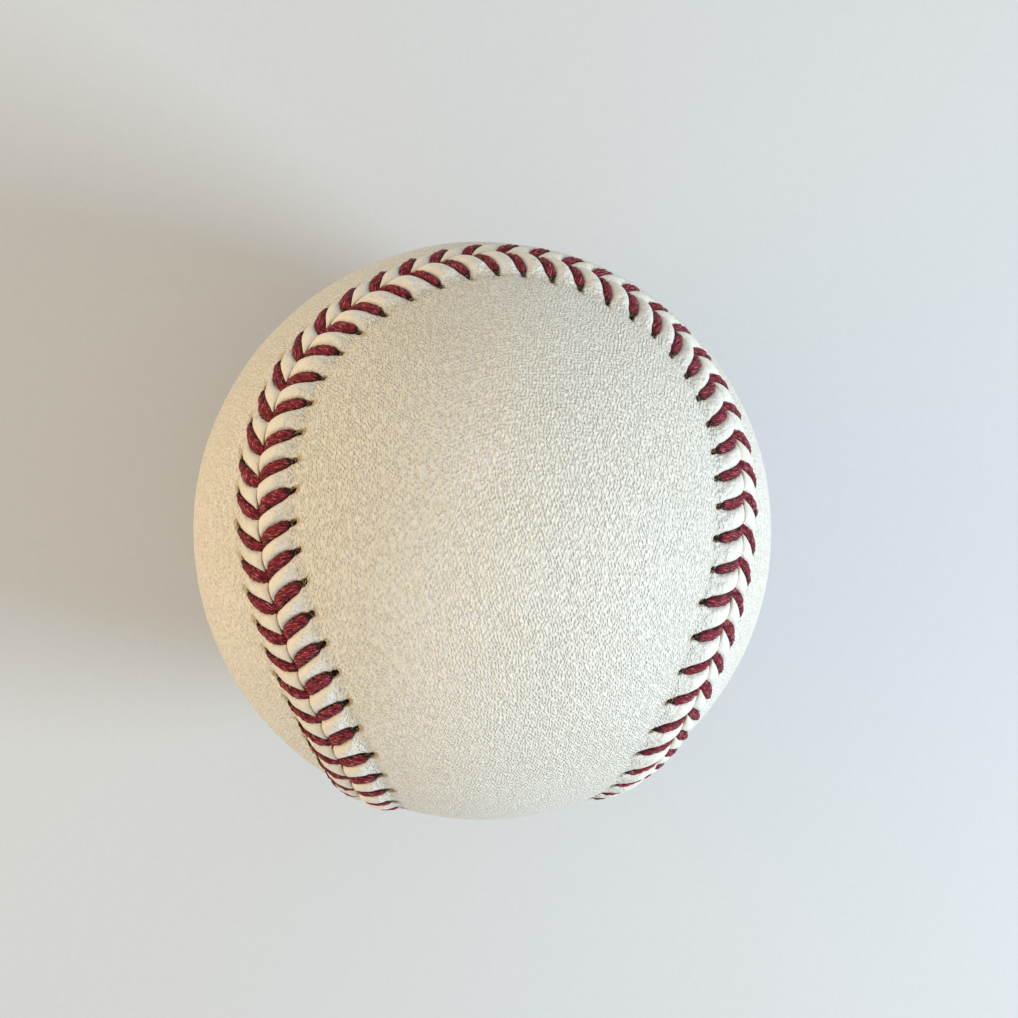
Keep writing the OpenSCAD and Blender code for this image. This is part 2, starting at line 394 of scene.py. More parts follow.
def mesh_of(name, points, faces):
    """A smooth mesh from points in millimetres and triangles."""
    mesh = bpy.data.meshes.new(name)
    mesh.vertices.add(len(points))
    mesh.vertices.foreach_set("co", (points * MM).astype(np.float32).ravel())
    mesh.loops.add(faces.size)
    mesh.loops.foreach_set("vertex_index", faces.astype(np.int32).ravel())
    mesh.polygons.add(len(faces))
    mesh.polygons.foreach_set("loop_start", np.arange(0, faces.size, 3, dtype=np.int32))
    mesh.update(calc_edges=True)
    mesh.shade_smooth()
    return mesh


def add_values(mesh, name, values):
    """Stores one number at each point, for a material to read."""
    mesh.attributes.new(name, "FLOAT", "POINT").data.foreach_set("value", values.astype(np.float32))


def add_piece(name, mesh, material, slot, *nodes):
    """Puts a mesh in the scene as a piece of the ball that stands for the given nodes."""
    piece = add_object(name, mesh)
    mesh.materials.append(material)
    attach(piece, "root")
    if nodes:
        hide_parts(*nodes)
    return piece


# Materials
def new_material(name):
    """A material with its nodes, links and shader."""
    material = bpy.data.materials.new(name)
    material.use_nodes = True
    tree = material.node_tree
    return material, tree.nodes, tree.links, tree.nodes["Principled BSDF"]


def add_node(nodes, kind, **values):
    """A node of that kind, with its inputs and properties set by name."""
    node = nodes.new(kind)
    for key, value in values.items():
        if key in node.inputs:
            node.inputs[key].default_value = value
        else:
            setattr(node, key, value)
    return node


def fill_sockets(links, sockets, values):
    """Sets each socket to a number or colour, or links it to an output."""
    for socket, value in zip(sockets, values):
        if isinstance(value, (int, float, tuple)):
            socket.default_value = value
        else:
            links.new(value, socket)


def mix_colors(nodes, links, factor, first, second):
    """The colour between two colours at a factor."""
    mix = nodes.new("ShaderNodeMix")
    mix.data_type = "RGBA"
    fill_sockets(links, (mix.inputs[0], mix.inputs[6], mix.inputs[7]), (factor, first, second))
    return mix.outputs[2]


def maths(nodes, links, operation, *values):
    """The result of one sum on numbers or outputs."""
    node = add_node(nodes, "ShaderNodeMath", operation=operation)
    fill_sockets(links, node.inputs, values)
    return node.outputs[0]


def drawn_out(nodes, links, stretch, tilt):
    """Object coordinates in a space that is stretched along its axes and tilted about Z."""
    coords = nodes.new("ShaderNodeTexCoord")
    mapping = add_node(nodes, "ShaderNodeMapping", vector_type="TEXTURE", Scale=stretch,
                       Rotation=(0, 0, tilt))
    links.new(coords.outputs["Object"], mapping.inputs["Vector"])
    return mapping.outputs["Vector"]


def bent(nodes, links, place, lump, swing):
    """Coordinates moved by noise: its lumps and how far it moves them are in millimetres."""
    drift = add_node(nodes, "ShaderNodeTexNoise", Scale=1 / (lump * MM), Detail=1.0)
    links.new(place, drift.inputs["Vector"])
    moved = add_node(nodes, "ShaderNodeVectorMath", operation="MULTIPLY_ADD")
    fill_sockets(links, moved.inputs, (drift.outputs["Color"], (swing * MM,) * 3, place))
    return moved.outputs["Vector"]


def noise(nodes, links, size, stretch=(1, 1, 1), tilt=0, detail=2.0, roughness=0.5):
    """Noise with lumps of that size in millimetres, drawn out and tilted."""
    texture = add_node(nodes, "ShaderNodeTexNoise", Scale=1 / (size * MM), Detail=detail,
                       Roughness=roughness)
    links.new(drawn_out(nodes, links, stretch, tilt), texture.inputs["Vector"])
    return texture.outputs["Fac"]


def pebbles(nodes, links, size, stretch, tilt):
    """Height of rounded grains of that size in millimetres: one less the distance to the
    nearest of many scattered points, in a space that is drawn out, tilted and bent."""
    place = bent(nodes, links, drawn_out(nodes, links, stretch, tilt), 2.2 * size, 0.8 * size)
    cells = add_node(nodes, "ShaderNodeTexVoronoi", feature="SMOOTH_F1", Scale=1 / (size * MM),
                     Smoothness=0.35)
    links.new(place, cells.inputs["Vector"])
    return maths(nodes, links, "SUBTRACT", 1.0, cells.outputs["Distance"])


def even_grain(nodes, links, pitch, stretch, tilt):
    """Grain of one pitch in millimetres, from 0 to 1: the mean of equal sine waves along the
    six axes of an icosahedron, in a space that is drawn out, tilted and bent."""
    place = bent(nodes, links, drawn_out(nodes, links, stretch, tilt), 2.5 * pitch, 2.0 * pitch)
    golden_ratio = (1 + 5 ** 0.5) / 2
    axes = [np.roll((0, 1, sign * golden_ratio), turn) for turn in range(3) for sign in (1, -1)]
    total = 0.0
    for axis in axes:
        along = add_node(nodes, "ShaderNodeVectorMath", operation="DOT_PRODUCT")
        links.new(place, along.inputs[0])
        along.inputs[1].default_value = TURN / (pitch * MM) * unit(axis)
        wave = maths(nodes, links, "SINE", along.outputs["Value"])
        total = maths(nodes, links, "ADD", wave, total)
    return maths(nodes, links, "MULTIPLY_ADD", total, 0.5 / len(axes), 0.5)


def spread(nodes, links, value, low, high, to_low=0.0, to_high=1.0):
    """Maps a value from one range to another, with its ends clamped."""
    node = add_node(nodes, "ShaderNodeMapRange", clamp=True)
    fill_sockets(links, node.inputs, (value, low, high, to_low, to_high))
    return node.outputs["Result"]


def attribute(nodes, name):
    """A number stored at the points of a mesh."""
    return add_node(nodes, "ShaderNodeAttribute", attribute_name=name).outputs["Fac"]


def add_bump(nodes, links, shader, height, distance, strength=1.0):
    """Roughens a shader's surface by a height, in millimetres at full height."""
    bump = add_node(nodes, "ShaderNodeBump", Distance=distance * MM)
    fill_sockets(links, (bump.inputs["Height"], bump.inputs["Strength"]), (height, strength))
    links.new(bump.outputs["Normal"], shader.inputs["Normal"])


def leather_material():
    """Off-white grained leather: a fine grain drawn out along Y, with painted shade in its low places,
    smoothed where the rim is pulled tight, with painted highlights on its wrinkles there, raw and
    tan where it is cut, and painted near-black as shade in the seam's crease and the pits."""
    material, nodes, links, shader = new_material("grained_leather")
    tone = noise(nodes, links, 14, detail=3)
    mottle = noise(nodes, links, 1.6, detail=3, roughness=0.6)
    grain = even_grain(nodes, links, 0.29, (1, 1.9, 1), 0.3)
    cells = pebbles(nodes, links, 0.30, (1, 1.8, 1), 0.2)
    creases = noise(nodes, links, 1.3, stretch=(1, 2.4, 1), tilt=0.3, detail=2)
    wrinkles = noise(nodes, links, 0.55, detail=3, roughness=0.6)
    blotches = noise(nodes, links, 0.8, detail=2, roughness=0.6)
    tight, bare_and_shade, wrinkled = (attribute(nodes, name) for name in ("tight", "bare_and_shade", "wrinkled"))
    pulled = maths(nodes, links, "MULTIPLY_ADD", maths(nodes, links, "SUBTRACT", blotches, 0.5), 0.9, tight)

    base = mix_colors(nodes, links, spread(nodes, links, tone, 0.35, 0.65),
                      (0.81, 0.775, 0.675, 1), (0.84, 0.81, 0.73, 1))
    base = mix_colors(nodes, links, spread(nodes, links, mottle, 0.35, 0.8, 0, 0.25),
                      base, (0.73, 0.69, 0.59, 1))
    # Painted shade: the grain's hollows are darkened
    base = mix_colors(nodes, links, spread(nodes, links, grain, 0.28, 0.58, 0.34, 0.0),
                      base, (0.54, 0.51, 0.45, 1))
    cushion = mix_colors(nodes, links, spread(nodes, links, blotches, 0.36, 0.60),
                         (0.77, 0.725, 0.62, 1), (0.81, 0.785, 0.715, 1))
    base = mix_colors(nodes, links, spread(nodes, links, pulled, 0.2, 0.8, 0, 0.85), base, cushion)
    # Painted highlight: the wrinkles at the pillows' ends are whitened, standing in for gloss
    pale = maths(nodes, links, "MULTIPLY", spread(nodes, links, wrinkles, 0.46, 0.60, 0, 0.7), wrinkled)
    base = mix_colors(nodes, links, pale, base, (0.84, 0.83, 0.79, 1))
    # Tan where the leather is raw, then near-black: painted shade in the pits and the seam's crease, and
    # partly the torn fibres' own dark
    base = mix_colors(nodes, links, spread(nodes, links, bare_and_shade, 0.0, 0.5), base, (0.50, 0.37, 0.20, 1))
    base = mix_colors(nodes, links, spread(nodes, links, bare_and_shade, 0.5, 1.0), base, (0.055, 0.025, 0.016, 1))
    links.new(base, shader.inputs["Base Color"])

    height = maths(nodes, links, "MULTIPLY_ADD", cells, 0.10, grain)
    height = maths(nodes, links, "MULTIPLY_ADD", creases, 0.15, height)
    height = maths(nodes, links, "MULTIPLY", height, spread(nodes, links, pulled, 0.1, 0.9, 0.33, 0.05))
    folds = maths(nodes, links, "MULTIPLY", wrinkles, spread(nodes, links, wrinkled, 0, 1, 0.13, 0.50))
    add_bump(nodes, links, shader, maths(nodes, links, "ADD", folds, height), 1.0)
    gloss = spread(nodes, links, mottle, 0.3, 0.7, 0.50, 0.60)
    sheen = spread(nodes, links, wrinkled, 0, 1, 0, 0.22)
    links.new(maths(nodes, links, "SUBTRACT", gloss, sheen), shader.inputs["Roughness"])
    shader.inputs["Specular IOR Level"].default_value = 0.5
    return material


def thread_material():
    """Waxed crimson thread: fine fibres that follow the twist, painted shade at its edges and between
    its plies, pale specks that are painted highlights, and near-black where it is drawn through a hole
    or dips into the seam, as wax dirt and painted shade."""
    material, nodes, links, shader = new_material("twisted_thread")
    uv = add_node(nodes, "ShaderNodeUVMap", uv_map="thread")
    strands = []
    for slant, stretch in ((0.5, (0.7, 0.09, 1)), (0.28, (1.3, 0.19, 1)), (0.4, (0.8, 0.15, 1))):
        mapping = add_node(nodes, "ShaderNodeMapping", vector_type="TEXTURE", Rotation=(0, 0, slant),
                           Location=(10 * slant, 0, 0), Scale=stretch)
        texture = add_node(nodes, "ShaderNodeTexNoise", Scale=1.0, Detail=2.0, Roughness=0.6)
        links.new(uv.outputs["UV"], mapping.inputs["Vector"])
        links.new(mapping.outputs["Vector"], texture.inputs["Vector"])
        strands.append(texture.outputs["Fac"])
    fibre, streak, highlight_fleck = strands
    tone = noise(nodes, links, 2.4, detail=2)
    wax = noise(nodes, links, 0.35, detail=2)
    dark, painted_shade = attribute(nodes, "dark"), attribute(nodes, "painted_shade")

    base = mix_colors(nodes, links, spread(nodes, links, streak, 0.38, 0.62),
                      (0.050, 0.001, 0.003, 1), (0.46, 0.018, 0.042, 1))
    base = mix_colors(nodes, links, spread(nodes, links, fibre, 0.40, 0.60, 0.65, 0),
                      base, (0.075, 0.002, 0.006, 1))
    # Painted shade: the thread's edges and the valley between its plies go near-black
    base = mix_colors(nodes, links, maths(nodes, links, "MULTIPLY", painted_shade, 0.88),
                      base, (0.026, 0.001, 0.002, 1))
    # Painted highlights: pale pink specks along the fibres
    base = mix_colors(nodes, links, spread(nodes, links, highlight_fleck, 0.54, 0.66, 0, 0.85),
                      base, (0.76, 0.23, 0.29, 1))
    base = mix_colors(nodes, links, spread(nodes, links, tone, 0.35, 0.7, 0, 0.35),
                      base, (0.21, 0.004, 0.014, 1))
    base = mix_colors(nodes, links, spread(nodes, links, wax, 0.62, 0.80, 0, 0.25),
                      base, (0.50, 0.10, 0.14, 1))
    # Near-black towards the holes and the seam: wax dirt and painted shade
    drawn = maths(nodes, links, "MULTIPLY_ADD", maths(nodes, links, "SUBTRACT", wax, 0.5), 1.2, dark)
    base = mix_colors(nodes, links, spread(nodes, links, drawn, 0.3, 0.7, 0, 0.93),
                      base, (0.018, 0.003, 0.004, 1))
    links.new(base, shader.inputs["Base Color"])
    add_bump(nodes, links, shader, maths(nodes, links, "MULTIPLY_ADD", streak, 1.2, fibre), 0.13)
    links.new(spread(nodes, links, wax, 0.3, 0.7, 0.40, 0.58), shader.inputs["Roughness"])
    shader.inputs["Specular IOR Level"].default_value = 0.2
    return material


def grain_cells(nodes, links, size):
    """Grains of that size in millimetres, as the cells of scattered points: a random number
    for each grain, and how far a place lies from its grain's edge."""
    coords = nodes.new("ShaderNodeTexCoord")
    outputs = []
    for feature, output in (("F1", "Color"), ("DISTANCE_TO_EDGE", "Distance")):
        texture = add_node(nodes, "ShaderNodeTexVoronoi", feature=feature, Scale=1 / (size * MM))
        links.new(coords.outputs["Object"], texture.inputs["Vector"])
        outputs.append(texture.outputs[output])
    return outputs


def cork_material():
    """Cork ground to grains, with pores in them and the dark binder where they meet."""
    material, nodes, links, shader = new_material("bound_cork")
    shade, to_edge = grain_cells(nodes, links, 1.3)
    pores = noise(nodes, links, 0.25, detail=2)
    base = mix_colors(nodes, links, spread(nodes, links, shade, 0.2, 0.8),
                      (0.38, 0.22, 0.10, 1), (0.60, 0.40, 0.21, 1))
    base = mix_colors(nodes, links, spread(nodes, links, pores, 0.56, 0.70, 0, 0.6),
                      base, (0.20, 0.10, 0.04, 1))
    base = mix_colors(nodes, links, spread(nodes, links, to_edge, 0.02, 0.09, 0.85, 0),
                      base, (0.07, 0.045, 0.03, 1))
    links.new(base, shader.inputs["Base Color"])
    height = maths(nodes, links, "MULTIPLY_ADD", pores, -0.4, spread(nodes, links, to_edge, 0, 0.2))
    add_bump(nodes, links, shader, height, 0.12)
    shader.inputs["Roughness"].default_value = 0.85
    return material


def rubber_material(name, deep, pale, roughness, stretch=(1, 1, 1)):
    """Moulded rubber or a brushed coat of it: a slow change of tone, pale dust from the mould
    in spots and a fine matt skin."""
    material, nodes, links, shader = new_material(name)
    tone = noise(nodes, links, 4.0, stretch, detail=3)
    skin = noise(nodes, links, 0.16, stretch, detail=3)
    dust = noise(nodes, links, 0.9, stretch, detail=4, roughness=0.65)
    base = mix_colors(nodes, links, spread(nodes, links, tone, 0.35, 0.65), deep, pale)
    base = mix_colors(nodes, links, spread(nodes, links, dust, 0.56, 0.80, 0, 0.18),
                      base, (0.52, 0.48, 0.44, 1))
    links.new(base, shader.inputs["Base Color"])
    add_bump(nodes, links, shader, maths(nodes, links, "MULTIPLY_ADD", tone, 1.5, skin), 0.05)
    links.new(spread(nodes, links, dust, 0.3, 0.7, roughness - 0.08, roughness + 0.1),
              shader.inputs["Roughness"])
    return material


def yarn_material(name, deep, pale, plies):
    """Wound yarn: its plies twist round it, as a sine of the turn round it and the length
    along it, with fine fibres that follow them, and painted shade between its plies and on the
    shells between strands."""
    material, nodes, links, shader = new_material(name)
    uv = add_node(nodes, "ShaderNodeUVMap", uv_map="yarn")
    place = nodes.new("ShaderNodeSeparateXYZ")
    links.new(uv.outputs["UV"], place.inputs["Vector"])
    twist = maths(nodes, links, "MULTIPLY_ADD", place.outputs["Y"], plies * TURN,
                  maths(nodes, links, "MULTIPLY", place.outputs["X"], TURN / YARN_LAY))
    ply = maths(nodes, links, "MULTIPLY_ADD", maths(nodes, links, "SINE", twist), 0.5, 0.5)
    fibre = add_node(nodes, "ShaderNodeTexNoise", Scale=1.0, Detail=3.0, Roughness=0.6)
    slanted = add_node(nodes, "ShaderNodeMapping", vector_type="TEXTURE", Rotation=(0, 0, 0.5),
                       Scale=(1.2, 0.06, 1))
    links.new(uv.outputs["UV"], slanted.inputs["Vector"])
    links.new(slanted.outputs["Vector"], fibre.inputs["Vector"])
    tone = noise(nodes, links, 5.0, detail=3)
    painted_shade = attribute(nodes, "painted_shade")
    base = mix_colors(nodes, links, spread(nodes, links, fibre.outputs["Fac"], 0.35, 0.65), deep, pale)
    base = mix_colors(nodes, links, spread(nodes, links, tone, 0.35, 0.65, 0, 0.3), base, deep)
    # Painted shade: darker between the plies, and on the shells under the yarn
    shadow = tuple(0.35 * channel for channel in deep[:3]) + (1,)
    base = mix_colors(nodes, links, spread(nodes, links, ply, 0, 0.35, 0.6, 0), base, shadow)
    base = mix_colors(nodes, links, painted_shade, base, shadow)
    links.new(base, shader.inputs["Base Color"])
    height = maths(nodes, links, "MULTIPLY_ADD", fibre.outputs["Fac"], 0.4, ply)
    add_bump(nodes, links, shader, height, 0.15)
    shader.inputs["Roughness"].default_value = 0.9
    shader.inputs["Sheen Weight"].default_value = 0.25
    return material


# The leather
COLUMNS_PER_STITCH = 20
COLUMNS = STITCHES * COLUMNS_PER_STITCH
CURL_ROWS = 7
BAND_OFFSETS = np.concatenate([
    CURL_W * (1 - np.cos(TURN / 4 * np.arange(CURL_ROWS) / CURL_ROWS)),
    np.linspace(CURL_W, 3.1, 10), np.linspace(3.28, 6.16, 17), np.linspace(6.6, RIM_FOOT, 3)])
# Coarse columns carry the middle of a panel and its inside
COARSE_STEP = 6
COARSE_COLUMNS = COLUMNS // COARSE_STEP
COARSE_OFF = RIM_FOOT + 1.2
RUNG_CELLS = 28
INSIDE_OFFSETS = np.array([0, 2.2, 4.4, 6.2, RIM_FOOT, COARSE_OFF])
INSIDE_RADII = np.array([RIM_IN_R, RIM_IN_R, RIM_IN_R, PANEL_IN_R + PANEL_IN_EASE, PANEL_IN_R, PANEL_IN_R])


def between(values, k, q):
    """A value of each stitch, run on evenly to the next stitch's."""
    return values[k][:, None] * (1 - q) + np.roll(values, -1)[k][:, None] * q


def rim_course(side, columns, from_edge):
    """Where points of a rim lie: their runs, their offsets and what the relief there needs.

    A column starts at the seam's edge between two stitches and follows the course of their
    arms out past the holes, so the pillows between the stitches lie along columns."""
    row = row_of(side)
    k, step = np.divmod(columns, COLUMNS_PER_STITCH)
    q = (step / COLUMNS_PER_STITCH)[:, None]
    near, far = point_run(k, row)[:, None], point_run(k + 1, row)[:, None]
    to_near, to_far = q * (far - near), (1 - q) * (far - near)
    lead = between(hole_run(EVERY, row) - point_run(EVERY, row), k, q)
    hole = between(reach[row], k, q)

    # The seam's edge, pulled back in a notch where the thread goes down
    to_notch = np.minimum(np.abs(to_near - side * CROSS_OFF), np.abs(to_far + side * CROSS_OFF))
    swing = EDGE_GAP_SWING * np.cos(2 * TURN * (k[:, None] + q - WIDEST_GAP_STITCH) / STITCHES)
    gap = EDGE_GAP * (1 + swing)
    edge = gap + (NOTCH_GAP - gap) * np.exp(-(to_notch / NOTCH_HALF) ** 4)

    w = from_edge + edge * np.exp(-from_edge / EDGE_GAP_REACH)
    w = w + (hole - HOLE_OFF[row]) * hump(w, HOLE_OFF[row], HOLE_SHIFT_REACH)
    share = w / hole
    run = near * (1 - q) + far * q + lead * lead_at(share, row)
    return k, q, np.minimum(to_near, to_far), lead, hole, w, share, run


def panel_band(side):
    """Points of a panel's rim, and how tight, how raw or painted with shade, and how wrinkled the leather
    is at each.

    The height is the rim's rise, with a rounded crown between two arms, a round groove
    under each arm, an edge that curls into the seam as a quarter ellipse and a pit at each
    hole."""
    row = row_of(side)
    from_edge = BAND_OFFSETS[None, :]
    k, q, to_stitch, lead, hole, w, share, run = rim_course(side, np.arange(COLUMNS), from_edge)

    # Slope of the arms' course here, for distances square to it
    step = 0.01
    slope = (lead_at(share + step, row) - lead_at(share - step, row)) / (2 * step) * lead / hole
    square = 1 / np.sqrt(1 + slope ** 2)
    v = np.interp(share, COURSE_REACH[row], COURSE_V)
    half = np.minimum(arm_half_width(v, between(arm_width[row], k, q), row) / square,
                      WIDEST_GROOVE_SHARE * PITCH)
    free = np.clip((to_stitch - half) / (PITCH / 2 - half), 0, 1)

    past_hole = w - hole
    crown_edge = CROWN_EDGE_SHARE + (1 - CROWN_EDGE_SHARE) * smooth(from_edge / CROWN_EDGE_W)
    crown_fade = crown_edge * fall(past_hole, -CROWN_AHEAD, CROWN_FALL_W)
    crown_round = (1 - (1 - free) ** CROWN_POWERS[0]) ** CROWN_POWERS[1]
    crown = CROWN[row] * between(crown_share[row], k, q) * crown_fade * crown_round
    under = np.sqrt(np.clip(1 - (to_stitch / half) ** 2, 0, 1))
    groove_fade = smooth(from_edge / GROOVE_EDGE_W) * fall(past_hole, -GROOVE_AHEAD, GROOVE_FALL_W)
    groove = GROOVE * under * groove_fade
    inward = 1 - np.clip(from_edge / CURL_W, 0, 1)
    curl = CURL * (1 - np.sqrt(1 - inward ** 2))

    # The pit that the thread comes up through, with a torn lip on its far side
    past_pit = past_hole - PIT_PAST
    from_pit = np.sqrt((to_stitch * square / PIT_HALF_W) ** 2
                       + (past_pit / between(pit_length[row], k, q)) ** 2)
    pit = PIT_DEPTH[row] * np.clip(1 - from_pit ** 2, 0, 1) ** PIT_POWER
    lip = LIP_RISE * hump(from_pit, LIP_SHARE, LIP_HALF_SHARE) * smooth(past_pit / LIP_FAR_W)
    trough = TROUGH_DEPTH * hump(past_hole, TROUGH_PAST, TROUGH_HALF_W) * (1 - under)
    pucker = (PUCKER_DEPTH * np.cos(TURN * q) * np.exp(-np.abs(past_hole - PUCKER_PAST) / PUCKER_HALF_W)
              * smooth((w - PUCKER_FOOT_OFF) / PUCKER_EASE_W))

    # A worn scoop past the pit, with a low ridge round it
    from_scoop = np.sqrt((to_stitch * square / SCOOP_HALF_W) ** 2
                         + ((past_hole - SCOOP_PAST) / SCOOP_PAST) ** 2)
    share_here = between(scoop_share[row], k, np.round(q))
    scoop = share_here * (SCOOP_DEPTH * np.clip(1 - from_scoop ** 2, 0, 1)
                          - SCOOP_RIDGE * hump(from_scoop, SCOOP_RIDGE_SHARE, SCOOP_RIDGE_HALF_SHARE))

    # Wrinkles: creases where the ripple is nought, at the pillow's end that faces the holes
    outward = seam_frame(run, side * w)[0]
    wrinkle_fade = (smooth((past_hole + WRINKLE_AHEAD) / WRINKLE_EASE_W)
                    * fall(past_hole, WRINKLE_PAST, WRINKLE_FALL_W))
    wrinkled = wrinkle_fade * free ** 0.5
    fold = np.minimum(np.abs(ripple(outward, WRINKLE_WAVES)), FOLD_CAP) ** FOLD_POWER
    wrinkle = WRINKLE * wrinkled * (fold - FOLD_MIDDLE)
    height = rim_rise(w) + crown - groove - curl - pit + lip - trough - pucker - scoop + wrinkle
    points = outward * (BALL_R + height + unevenness(outward))[..., None]
    tight = fall(past_hole, -TIGHT_AHEAD, TIGHT_FALL_W)
    # The cut edge is tan, and mostly painted near-black as shade in the seam's crease
    cut = CUT_AND_CREASE_SHADE * smooth((CUT_EDGE_W - from_edge) / CUT_EASE_W)
    # A light tan tint towards the seam's edge
    seam_tan = SEAM_TAN * fall(from_edge, 0, SEAM_TAN_W)
    worn = WORN_BARE * share_here * smooth((WORN_SHARE - from_scoop) / WORN_EASE_SHARE)
    # Torn leather round each pit is tan, and the pit itself is painted near-black as shade
    torn = smooth((TORN_AND_SHADE_SHARE - from_pit) / TORN_AND_SHADE_EASE_SHARE)
    bare_and_shade = np.clip(np.maximum(torn, cut + seam_tan + worn), 0, 1)
    return points, {"tight": tight, "bare_and_shade": bare_and_shade, "wrinkled": wrinkled}


def coarse_rows(side, offsets):
    """Directions of the coarse columns' points at some offsets from the seam's edge."""
    columns = np.arange(0, COLUMNS, COARSE_STEP)
    _, _, _, _, _, w, _, run = rim_course(side, columns, offsets[None, :])
    return seam_frame(run, side * w)[0]


def rungs(side, feet):
    """Directions across the middle of a panel, from foot to foot. Each rung is a great-circle
    arc between the feet of two coarse columns, one as far past a lobe's tip as the other is
    before it: sin((1-f)a) of one foot and sin(fa) of the other, over sin a. Returned with the
    numbers of all the feet's pairs, whose first and last are the two tips."""
    tip_run = SEAM_LEN / 4 if side > 0 else 0
    _, _, _, _, _, _, _, run = rim_course(side, np.arange(0, COLUMNS, COARSE_STEP), COARSE_OFF)
    tip = np.argmin(np.abs((run[:, 0] - tip_run + SEAM_LEN / 2) % SEAM_LEN - SEAM_LEN / 2))
    i = np.arange(COARSE_COLUMNS // 2 + 1)
    one, other = (tip + i) % COARSE_COLUMNS, (tip - i) % COARSE_COLUMNS
    a, b = feet[one[1:-1]][:, None], feet[other[1:-1]][:, None]
    span = np.arccos((a * b).sum(-1, keepdims=True))
    f = (np.arange(1, RUNG_CELLS) / RUNG_CELLS)[None, :, None]
    return (a * np.sin((1 - f) * span) + b * np.sin(f * span)) / np.sin(span), one, other


def rung_numbers(first, foot_numbers, one, other):
    """Point numbers of the rungs, with their feet at both ends and each tip as one point."""
    numbers = np.empty((len(one), RUNG_CELLS + 1), int)
    numbers[:, 0], numbers[:, -1] = foot_numbers[one], foot_numbers[other]
    numbers[1:-1, 1:-1] = first + np.arange((len(one) - 2) * (RUNG_CELLS - 1)).reshape(len(one) - 2, -1)
    numbers[[0, -1], 1:-1] = numbers[[0, -1], :1]
    return numbers


def fan(fine, coarse):
    """Triangles between a fine closed row and a coarse one: each fine step joins the nearest
    coarse point, and each coarse step joins the fine point at its middle."""
    nearest = (np.arange(len(fine)) + COARSE_STEP // 2) // COARSE_STEP % len(coarse)
    slim = np.stack([fine, np.roll(fine, -1), coarse[nearest]], -1)
    middle = np.arange(COARSE_STEP // 2, len(fine), COARSE_STEP)
    wide = np.stack([fine[middle], coarse[nearest[middle]], coarse[nearest[middle] - 1]], -1)
    return np.concatenate([slim, wide])


def panel_mesh(side, name):
    """A closed figure-eight panel: its rim band, the rungs across its middle, its cut edge
    and a plain inside."""
    band, finish = panel_band(side)
    outer_feet = coarse_rows(side, np.array([COARSE_OFF]))[:, 0]
    across, one, other = rungs(side, outer_feet)
    across = across.reshape(-1, 3)
    inside = coarse_rows(side, INSIDE_OFFSETS) * INSIDE_RADII[None, :, None]

    parts = [band.reshape(-1, 3), outer_feet * (BALL_R + unevenness(outer_feet))[:, None],
             across * (BALL_R + unevenness(across))[:, None], inside.reshape(-1, 3), across * PANEL_IN_R]
    starts = np.cumsum([0] + [len(p) for p in parts])
    band_numbers = np.arange(starts[1]).reshape(band.shape[:2])
    feet_numbers = starts[1] + np.arange(COARSE_COLUMNS)
    inside_numbers = starts[3] + np.arange(inside[..., 0].size).reshape(inside.shape[:2])
    faces = [grid(band_numbers), fan(band_numbers[:, -1], feet_numbers),
             grid(rung_numbers(starts[2], feet_numbers, one, other), closed=False),
             fan(band_numbers[:, 0], inside_numbers[:, 0])[:, ::-1],
             grid(inside_numbers)[:, ::-1],
             grid(rung_numbers(starts[4], inside_numbers[:, -1], one, other), closed=False)[:, ::-1]]
    faces = np.concatenate(faces)
    mesh = mesh_of(name, np.concatenate(parts), faces if side > 0 else faces[:, ::-1])
    others = starts[-1] - starts[1]
    for value_name, value in finish.items():
        add_values(mesh, value_name, np.concatenate([value.ravel(), np.zeros(others)]))
    return mesh


# The thread
THREAD_SIDES = 20
ARM_RINGS = 26
RISE_RADII = np.array([UNDER_R + 0.25, BALL_R - 0.55])
DIP_RADII = np.array([BALL_R - 0.30, BALL_R - 0.65, UNDER_R + 0.25])
UNDER_SHARES = np.array([0.04, 0.35, 0.7, 1.0])
PLY_RIDGE = 0.045
PLY_SLANT = 2.0
PLY_RUN = 1.9
VALLEY = 0.40
VALLEY_HALF_SHARE = 0.26
RAGGED = 0.075
# Two ragged waves: the length of each, of its drift along the thread, how far that drifts it
# and how the thread's two edges differ
RAGGED_WAVES = ((0.62, 3.1, 2, 2), (0.41, 1.9, 3, -1))
THICKEN_SHARE = 0.35
THIN_SHARE = 0.22
DIVE_SHARE = 0.12
SEAM_DIVE = 0.3
LIFT_SHARE = 0.28
DARK_SHARE = 0.82
DARK_EASE_SHARE = 0.13
SEAM_DARK = 0.6
SEAM_DARK_SHARE = 0.07
UNDER_T_SHARE = 0.75
START_T_SHARE = 0.37


def arm_at(k, row, v):
    """An arm's run, offset, radius, half width and half thickness at v, 0 at the seam and 1
    at the hole. It lies in its groove on the rim and dives at both ends."""
    side = 2 * row - 1
    point, hole = point_run(k, row), hole_run(k, row)
    run = point + (hole - point) * bend(v, BEND_LEAD_SHARES, row)
    off = side * reach[row, k] * bend(v, BEND_REACH_SHARES, row)
    half_w = arm_half_width(v, arm_width[row, k], row)
    swell = smooth(v / THICKEN_SHARE) * smooth((1 - v) / THIN_SHARE)
    half_t = (DRAWN_T + (STITCH_T - DRAWN_T) * swell) / 2
    dive = (np.take(HOLE_DIVE, row) * np.clip((v - 1) / DIVE_SHARE + 1, 0, 1) ** 2
            + SEAM_DIVE * np.clip(1 - v / DIVE_SHARE, 0, 1) ** 2)
    lift = np.take(END_LIFT, row) * smooth((v - 1) / LIFT_SHARE + 1)
    rise = rim_rise(np.abs(off)) - GROOVE + half_t - dive + lift
    return run, off, BALL_R + rise + unevenness(seam_frame(run, off)[0]), half_w, half_t


def hole_dark(v):
    """How dark an arm is at v, from 0 to 1, where it nears its hole: wax dirt and painted shade."""
    return smooth((v - DARK_SHARE) / DARK_EASE_SHARE)


